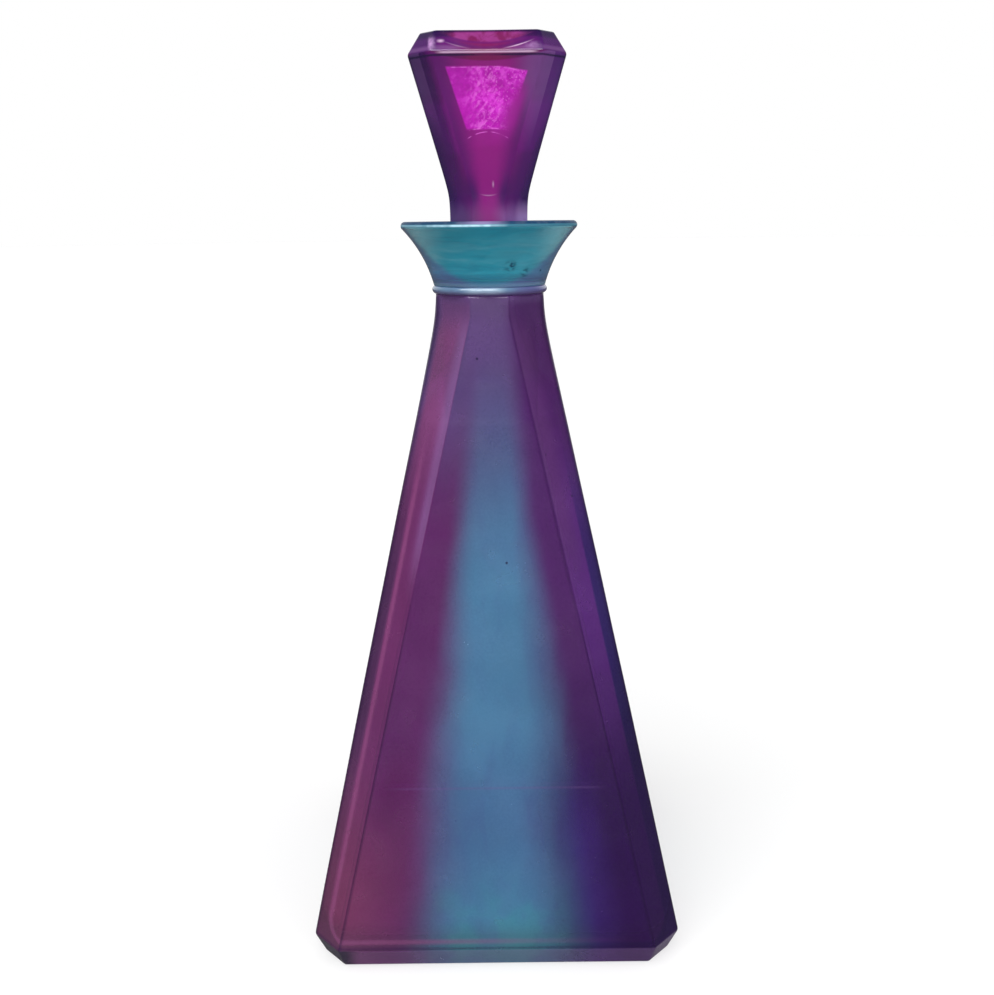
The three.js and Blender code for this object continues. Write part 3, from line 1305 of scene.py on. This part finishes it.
        # a painted wine-coloured shadow and a painted shade line under the widest edge, and a painted
        # highlight along it
        return [
            (wine, (rise + self.lens - square * 0.009).step(-0.3, 0.3)),
            (self.night, rise.near(-1.0, 0.5) * far.step(0, 6, 0.4, 0.9)),
            (self.pale, rise.near(-0.3, 0.45) * far.step(15, 12, 0.0, 0.75)),
            (crown, rise.step(-0.1, 0.3)),
        ]


# The sub-assemblies


@dataclass
class Body:
    """The hollow square pyramid with cut corners, its neck and the ground socket in it."""

    foot_width: float = 110.4 * MM
    foot_face: float = 96.4 * MM
    base_width: float = 116.6 * MM
    base_face: float = 99.4 * MM
    bevel_height: float = 7.6 * MM
    shoulder_height: float = 200 * MM
    flank_crown: float = 0.3 * MM
    neck_reach: float = 16.5 * MM
    neck_face: float = 12 * MM
    neck_blend: float = 1.5 * MM
    edge_radius: float = 1.2 * MM
    neck_edge_radius: float = 3 * MM
    thread_foot: float = 206.1 * MM
    thread_seat_radius: float = 15.5 * MM
    wall: float = 3.2 * MM
    floor: float = 8 * MM
    floor_fillet: float = 8 * MM
    hollow_edge_radius: float = 6 * MM
    throat_height: float = 15 * MM
    socket_foot: float = 181.5 * MM
    socket_foot_radius: float = 10.4 * MM
    socket_top_radius: float = 11.76 * MM
    edge_softness: float = 0.8 * MM
    wave: float = 0.05 * MM
    wave_length: float = 34 * MM
    edge_strip: float = 4 * MM  # beside a soft edge, where the rings lie closer
    bend_length: float = 20 * MM  # below the shoulder, where they do too
    flank_rings: int = 60
    bend_rings: int = 30
    socket_rings: int = 12
    curve_steps: int = 12
    glass: WallGlass = field(default_factory=WallGlass)
    coat: ColourCoat = field(default_factory=ColourCoat)

    @property
    def top(self) -> float:
        """Height of the face that the collar stands on."""
        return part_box("glass_body")[1].z

    def flank_sizes(self, z: np.ndarray) -> tuple[np.ndarray, np.ndarray, np.ndarray]:
        """Reach, half a face and edge radius of the outside at some heights.

        Both lines run straight from the bevel to the shoulder, swell by a parabola that is flank_crown high
        at its middle, and bend softly into the neck.

        Args:
            z: The heights.

        Returns:
            The three sizes at each height.
        """
        share = (z - self.bevel_height) / (self.shoulder_height - self.bevel_height)
        crown = self.flank_crown * 4 * np.maximum(0, share * (1 - share))
        leaning = mix(self.base_width / 2, self.neck_reach, share) + crown
        reach = bent(leaning, self.neck_reach, self.neck_blend)
        line = mix(self.base_face / 2, self.neck_face / 2, share) + crown
        face = bent(line, self.neck_face / 2, self.neck_blend)
        edge = mix(self.edge_radius, self.neck_edge_radius, ease(np.clip(share, 0, 1)))
        return reach, face, edge

    def taper(self) -> Taper:
        """The outside as its colours need it, without its swelling and its soft bends."""
        return Taper(
            (self.bevel_height, self.shoulder_height),
            (self.base_width / 2, self.neck_reach),
            (self.base_face / 2, self.neck_face / 2),
        )

    def flank(self, z: np.ndarray) -> np.ndarray:
        """Rings of the outside at some heights."""
        return eight_sided(z, *self.flank_sizes(z))

    def hollow(self, z: np.ndarray, inset: np.ndarray | float = 0.0) -> np.ndarray:
        """Rings of the hollow, one wall inside the flanks.

        Args:
            z: Their heights.
            inset: How much further in they lie.

        Returns:
            The rings.
        """
        reach, face, _ = self.flank_sizes(np.maximum(z, self.bevel_height))
        depth = self.wall + inset
        return eight_sided(z, reach - depth, face - depth * REGULAR_FACE, self.hollow_edge_radius)

    def outside(self) -> np.ndarray:
        """Rings from the resting face up to the seat of the thread, with soft edges round the bevel."""
        strip = self.edge_strip
        foot = (self.foot_width / 2, self.foot_face / 2, self.edge_radius)
        inner_foot = (foot[0] - strip, foot[1] - strip * REGULAR_FACE, foot[2])
        bevel = np.concatenate([
            eight_sided(0.0, *inner_foot),
            eight_sided(0.0, *foot),
            self.flank(np.array([self.bevel_height, self.bevel_height + strip])),
        ])
        bevel = softened(bevel, {1: self.edge_softness, 2: self.edge_softness})
        bend_foot = self.shoulder_height - self.bend_length
        heights = np.linspace(self.bevel_height + strip, bend_foot, self.flank_rings)[1:]
        bend = np.linspace(bend_foot, self.thread_foot, self.bend_rings)[1:]
        return np.concatenate([bevel, self.flank(heights), self.flank(bend)])

    def inside(self) -> np.ndarray:
        """Rings down the socket, through the throat and down the hollow to its floor."""
        socket = circular(
            np.linspace(self.top, self.socket_foot, self.socket_rings),
            np.linspace(self.socket_top_radius, self.socket_foot_radius, self.socket_rings),
        )
        steps = np.linspace(0, 1, self.curve_steps + 1)[1:]
        share = ease(steps[:, None, None])
        low = self.socket_foot - self.throat_height * steps
        throat = mix(circular(low, self.socket_foot_radius), self.hollow(low), share)
        fillet_top = self.floor + self.floor_fillet
        down = np.linspace(low[-1], fillet_top, self.flank_rings)[1:]
        angle = math.pi / 2 * steps
        fillet = self.hollow(
            fillet_top - self.floor_fillet * np.sin(angle), self.floor_fillet * (1 - np.cos(angle))
        )
        return np.concatenate([socket, throat, self.hollow(down), fillet])

    def build(self) -> bpy.types.Object:
        """Makes the piece: glass outside, and the colour coat on its inner face."""
        outside = rippled(self.outside(), self.wave, self.wave_length)
        seat = circular(np.array([self.thread_foot, self.top]), self.thread_seat_radius)
        inside = self.inside()
        rings = np.concatenate([outside, seat, inside])
        regions = np.full(len(rings) - 1, Region.OUTSIDE.value)
        regions[len(outside) + 1 :] = Region.INSIDE.value
        taper = self.taper()
        materials = [self.glass.material(taper), self.coat.material(taper)]
        piece = make_piece("carafe_body", rings, materials, regions)
        settle(piece, "vessel", "glass_body")
        return piece


@dataclass
class NeckThread:
    """The thread of glass under the collar: a ring with a round outer face."""

    height: float = 2.6 * MM
    inner_radius: float = 15.8 * MM
    outer_radius: float = 18.15 * MM
    play: tuple[float, float] = (0.1 * MM, 0.02 * MM)  # left at the inner face, below and above
    glass: ThreadGlass = field(default_factory=ThreadGlass)

    def build(self) -> bpy.types.Object:
        """Makes the piece."""
        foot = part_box("neck_thread")[0].z
        top = foot + self.height - self.play[1]
        centre = np.array([self.outer_radius - self.height / 2, foot + self.height / 2])
        bow = arc(centre, self.height / 2, -math.pi / 2, math.pi / 2, 20)
        inner = np.array([[self.inner_radius, foot + self.play[0]]])
        profile = np.concatenate([inner, bow, np.array([[self.inner_radius, top]])])
        glass = self.glass.material(foot / MM, top / MM)
        piece = make_piece("neck_thread_ring", turned(profile, ROUND_STEPS), [glass], closed=True)
        settle(piece, "vessel", "neck_thread")
        return piece


@dataclass
class Collar:
    """The flared collar, a funnel on the neck."""

    foot_radius: float = 17.6 * MM
    rim_radius: float = 27.5 * MM
    lip: float = 1.3 * MM  # half the thickness of the wall
    rim_line: float = 0.8 * MM  # how far down the rim's own glass reaches inside
    rim_band: float = 1.75 * MM  # and outside
    flare: float = 40 * MM
    funnel_floor: float = 2.8 * MM
    funnel_fillet: float = 2.4 * MM
    bore: float = 11.76 * MM
    bore_taper: float = 0.05  # gain of radius with height
    glass: CollarGlass = field(default_factory=CollarGlass)
    coat: FunnelCoat = field(default_factory=FunnelCoat)

    def flare_centre(self, foot: np.ndarray, rim: np.ndarray) -> np.ndarray:
        """The centre of the flare's arcs: flare from the foot, and half a wall more from the rim's middle.

        Args:
            foot: The foot's radius and height.
            rim: Those of the middle of the rim.

        Returns:
            The centre's radius and height.
        """
        apart = np.linalg.norm(rim - foot)
        far = self.flare + self.lip
        along = (self.flare**2 - far**2 + apart**2) / (2 * apart)
        aside = math.sqrt(self.flare**2 - along**2)
        way = (rim - foot) / apart
        return foot + along * way + aside * np.array([way[1], -way[0]])

    def build(self) -> bpy.types.Object:
        """Makes the piece: two arcs about one centre, a round lip, and a fillet into the funnel's floor."""
        low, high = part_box("collar")
        foot = np.array([self.foot_radius, low.z])
        rim = np.array([self.rim_radius - self.lip, high.z - self.lip])
        centre = self.flare_centre(foot, rim)
        foot_angle, rim_angle = (math.atan2(*(p - centre)[::-1]) for p in (foot, rim))
        outer = arc(centre, self.flare, foot_angle, rim_angle, 40)
        lip = arc(rim, self.lip, rim_angle - math.pi, rim_angle, 24)[1:]
        floor = low.z + self.funnel_floor
        inner_radius = self.flare + 2 * self.lip
        inner_foot = math.pi - math.asin((floor + self.funnel_fillet - centre[1]) / inner_radius)
        inner = arc(centre, inner_radius, rim_angle, inner_foot, 40)[1:]
        middle = np.array([inner[-1][0] - self.funnel_fillet, floor + self.funnel_fillet])
        fillet = arc(middle, self.funnel_fillet, 0, -math.pi / 2, 10)[1:]
        ends = np.array([[self.bore + self.bore_taper * self.funnel_floor, floor], [self.bore, low.z]])
        profile = np.concatenate([outer, lip, inner, fillet, ends])
        regions = np.full(len(profile), Region.INSIDE.value)
        regions[: len(outer) + len(lip) - 1] = Region.OUTSIDE.value
        radius, depth = profile[:, 0], high.z - profile[:, 1]
        regions[(radius > rim[0] - self.lip) & (depth < self.rim_line)] = Region.RIM.value
        regions[(radius > rim[0]) & (depth < self.rim_band)] = Region.RIM.value
        materials = [
            self.glass.material(low.z / MM, high.z / MM),
            self.coat.material(floor / MM),
            self.glass.rim_material(high.z / MM),
        ]
        piece = make_piece("flared_collar", turned(profile, ROUND_STEPS), materials, regions, closed=True)
        settle(piece, "vessel", "collar")
        return piece


@dataclass
class Stopper:
    """The solid stopper: a ground plug, an eight-sided stem and a faceted head with a dished top."""

    plug_radius: float = 11.6 * MM
    plug_length: float = 28 * MM
    plug_taper: float = 0.05  # loss of radius with depth
    plug_chamfer: float = 0.8 * MM
    plug_top: float = 211.5 * MM
    rim_top: float = 228 * MM
    stem_reach: float = 11.8 * MM
    stem_face: float = 9.6 * MM
    stem_top: float = 235.5 * MM
    head_height: float = 38.5 * MM
    head_width: float = 45.6 * MM
    head_face: float = 32 * MM
    crown_width: float = 38 * MM
    crown_face: float = 29.8 * MM
    head_blend: float = 0.8 * MM
    edge_radius: float = 1 * MM
    dish_radius: float = 15 * MM
    dish_depth: float = 3 * MM
    edge_softness: float = 0.7 * MM
    dish_softness: float = 0.4 * MM
    edge_strip: float = 3 * MM  # below the widest edge, without rings
    glass: StopperGlass = field(default_factory=StopperGlass)

    @property
    def top(self) -> float:
        """Height of the crown."""
        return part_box("stopper")[1].z

    @property
    def head_top(self) -> float:
        """Height of the widest place."""
        return self.stem_top + self.head_height

    def plug(self) -> np.ndarray:
        """Rings of the round plug, from its chamfered tip up to the funnel's floor."""
        tip = self.plug_top - self.plug_length
        z = np.concatenate([[tip], np.linspace(tip + self.plug_chamfer, self.plug_top, 10)])
        radius = self.plug_radius - (self.plug_top - z) * self.plug_taper
        radius[0] -= self.plug_chamfer
        return circular(z, radius)

    def head(self, z: np.ndarray) -> np.ndarray:
        """Rings of the stem and the head: straight flares that bend softly into the stem.

        Args:
            z: Their heights.

        Returns:
            The rings.
        """
        share = (z - self.stem_top) / self.head_height
        reach = bent(mix(self.stem_reach, self.head_width / 2, share), self.stem_reach, self.head_blend)
        face = bent(mix(self.stem_face, self.head_face, share) / 2, self.stem_face / 2, self.head_blend)
        return eight_sided(z, reach, face, self.edge_radius)

    def crown(self) -> np.ndarray:
        """Rings of the widest edge, the crown's bevel, its flat and the dish, with soft edges.

        The dish is part of a sphere whose radius is (r squared + depth squared) / (2 depth).
        """
        below = self.head(np.array([self.head_top - self.edge_strip, self.head_top]))
        rim = eight_sided(self.top, self.crown_width / 2, self.crown_face / 2, self.edge_radius)
        sphere = (self.dish_radius**2 + self.dish_depth**2) / (2 * self.dish_depth)
        radius = self.dish_radius * np.linspace(1, 0.03, 24)
        z = self.top - self.dish_depth + sphere - np.sqrt(sphere**2 - radius**2)
        rings = np.concatenate([below, rim, circular(z, radius)])
        return softened(rings, {1: self.edge_softness, 2: self.edge_softness, 3: self.dish_softness})

    def build(self) -> bpy.types.Object:
        """Makes the piece."""
        z = np.linspace(self.plug_top, self.rim_top, 12)[1:]
        share = ease((z - self.plug_top) / (self.rim_top - self.plug_top))[:, None, None]
        stem = mix(circular(z, self.plug_radius), self.head(z), share)
        rise = np.linspace(self.rim_top, self.head_top - self.edge_strip, 50)[1:-1]
        rings = np.concatenate([self.plug(), stem, self.head(rise), self.crown()])
        taper = Taper(
            (self.stem_top, self.head_top),
            (self.stem_reach, self.head_width / 2),
            (self.stem_face / 2, self.head_face / 2),
        )
        piece = make_piece("glass_stopper", rings, [self.glass.material(taper)])
        settle(piece, "stopper", "stopper")
        return piece


# The studio


@dataclass(frozen=True)
class Lamp:
    """A soft lamp, wide and high as its sides say."""

    name: str
    place: Point
    sides: tuple[float, float]
    power: float  # in watts
    mirrored: bool = False  # whether it shows in the gloss

    def build(self, aim: Point) -> None:
        """Makes the lamp.

        Args:
            aim: The point that it faces.
        """
        light = bpy.data.lights.new(self.name, "AREA")
        light.shape = "RECTANGLE"
        light.size, light.size_y = self.sides
        light.energy = self.power
        lamp = bpy.data.objects.new(self.name, light)
        lamp.rotation_mode = "QUATERNION"
        lamp.rotation_quaternion = (Vector(aim) - Vector(self.place)).to_track_quat("-Z", "Y")
        lamp.location = self.place
        lamp.visible_glossy = self.mirrored
        bpy.context.scene.collection.objects.link(lamp)


@dataclass
class Studio:
    """The pale floor, the soft light and the camera at the photograph's place."""

    distance: float = 332.6 * MM  # of the camera in front of the axis
    camera_height: float = 228.87 * MM
    pitch: float = math.radians(15.18)
    roll: float = 0.011
    focal: float = 1029.8  # in pixels of the picture
    picture_side: float = 995.0
    middle: float = 497.0
    axis_pixel: float = 491.91  # where the carafe's axis meets the middle of the picture
    floor_gap: float = 0.2 * MM
    floor_depth: float = 10 * MM
    soft_light: float = 0.64
    dim: float = 0.08
    aim: Point = (0.0, 0.0, 0.14)  # the middle of the carafe
    lamps: tuple[Lamp, ...] = (
        Lamp("key", (-0.35, -0.55, 1.1), (1.3, 0.35), 12.0, mirrored=True),
        Lamp("fill", (0.9, -0.5, 0.4), (1.2, 1.2), 5.0),
        Lamp("front", (-0.1, -1.1, 0.17), (1.0, 0.3), 1.8),
    )

    def camera(self) -> None:
        """Makes the camera, looking down by its pitch and turned a little by its roll."""
        lens = bpy.data.cameras.new("camera")
        lens.sensor_width = 36.0
        lens.lens = lens.sensor_width * self.focal / self.picture_side
        lens.shift_x = (self.middle - self.axis_pixel) / self.picture_side
        lens.clip_start = 0.01
        ahead = Vector((0, math.cos(self.pitch), -math.sin(self.pitch)))
        above = Vector((0, math.sin(self.pitch), math.cos(self.pitch)))
        right = Vector((math.cos(self.roll), 0, 0)) - math.sin(self.roll) * above
        up = Vector((math.sin(self.roll), 0, 0)) + math.cos(self.roll) * above
        place = Vector((0, -self.distance, self.camera_height))
        camera = bpy.data.objects.new("camera", lens)
        camera.matrix_world = Matrix((
            (right.x, up.x, -ahead.x, place.x),
            (right.y, up.y, -ahead.y, place.y),
            (right.z, up.z, -ahead.z, place.z),
            (0, 0, 0, 1),
        ))
        bpy.context.scene.collection.objects.link(camera)
        bpy.context.scene.camera = camera

    def floor(self) -> None:
        """Makes the floor: a wide round slab that shows white, with the carafe's shadow left on it.

        The lamps light it less and less further out, so its own glow grows with the distance from the carafe.
        """
        radius = np.array([12.0, 12.0, 4.0, 1.0, 0.3])
        z = np.array([-self.floor_depth, 0.0, 0.0, 0.0, 0.0]) - self.floor_gap
        s = Shader(bpy.data.materials.new("pale_floor"))
        diffuse = s.result("ShaderNodeBsdfDiffuse", {0: s.rays("Glossy") * -0.35 + 0.5})
        x, y, _ = s.place().parts()
        away = (x * x + y * y).maths("SQRT")
        level = away.step(1.0, 3.0) * 0.1 + away.step(0.1, 1.0, 0.45, 0.62, Run.STRAIGHT)
        seen = s.rays("Camera", "Transmission")
        glow = s.result("ShaderNodeEmission", {"Strength": seen * level})
        both = s.result("ShaderNodeAddShader", {0: diffuse, 1: glow})
        profile = np.stack([radius, z], axis=1)
        sheet = make_piece("floor", turned(profile, 64), [s.finish(both)])

    def world(self) -> None:
        """White where it is seen behind or through the carafe, and a soft even light on it.

        What the gloss mirrors is white behind the carafe and falls to the dim of the room before it.
        """
        s = Shader(bpy.data.worlds.new("studio"))
        _, y, _ = s.result("ShaderNodeTexCoord", {}, "Generated").parts()
        room = y.step(0.2, 0.9, self.dim, 1.0)
        strength = s.rays("Glossy") * (room - self.soft_light) + self.soft_light
        strength = s.rays("Camera", "Transmission") * (1.0 - strength) + strength
        light = s.result("ShaderNodeBackground", {0: (1.0, 1.0, 1.0), 1: strength})
        bpy.context.scene.world = s.finish(light)

    def build(self) -> None:
        """Makes the camera, the floor, the world and the lamps, and sets the view transform."""
        bpy.context.scene.view_settings.view_transform = "Standard"
        bpy.context.scene.cycles.caustics_refractive = False
        bpy.context.scene.cycles.caustics_reflective = False
        self.camera()
        self.floor()
        self.world()
        for lamp in self.lamps:
            lamp.build(self.aim)


def main() -> None:
    """Builds the studio and each sub-assembly in turn."""
    logging.basicConfig(level=logging.INFO, format="%(name)s: %(message)s")
    Studio().build()
    for maker in (Body(), NeckThread(), Collar(), Stopper()):
        piece = maker.build()
        log.info("built %s", piece.name)


if __name__ == "__main__":
    main()
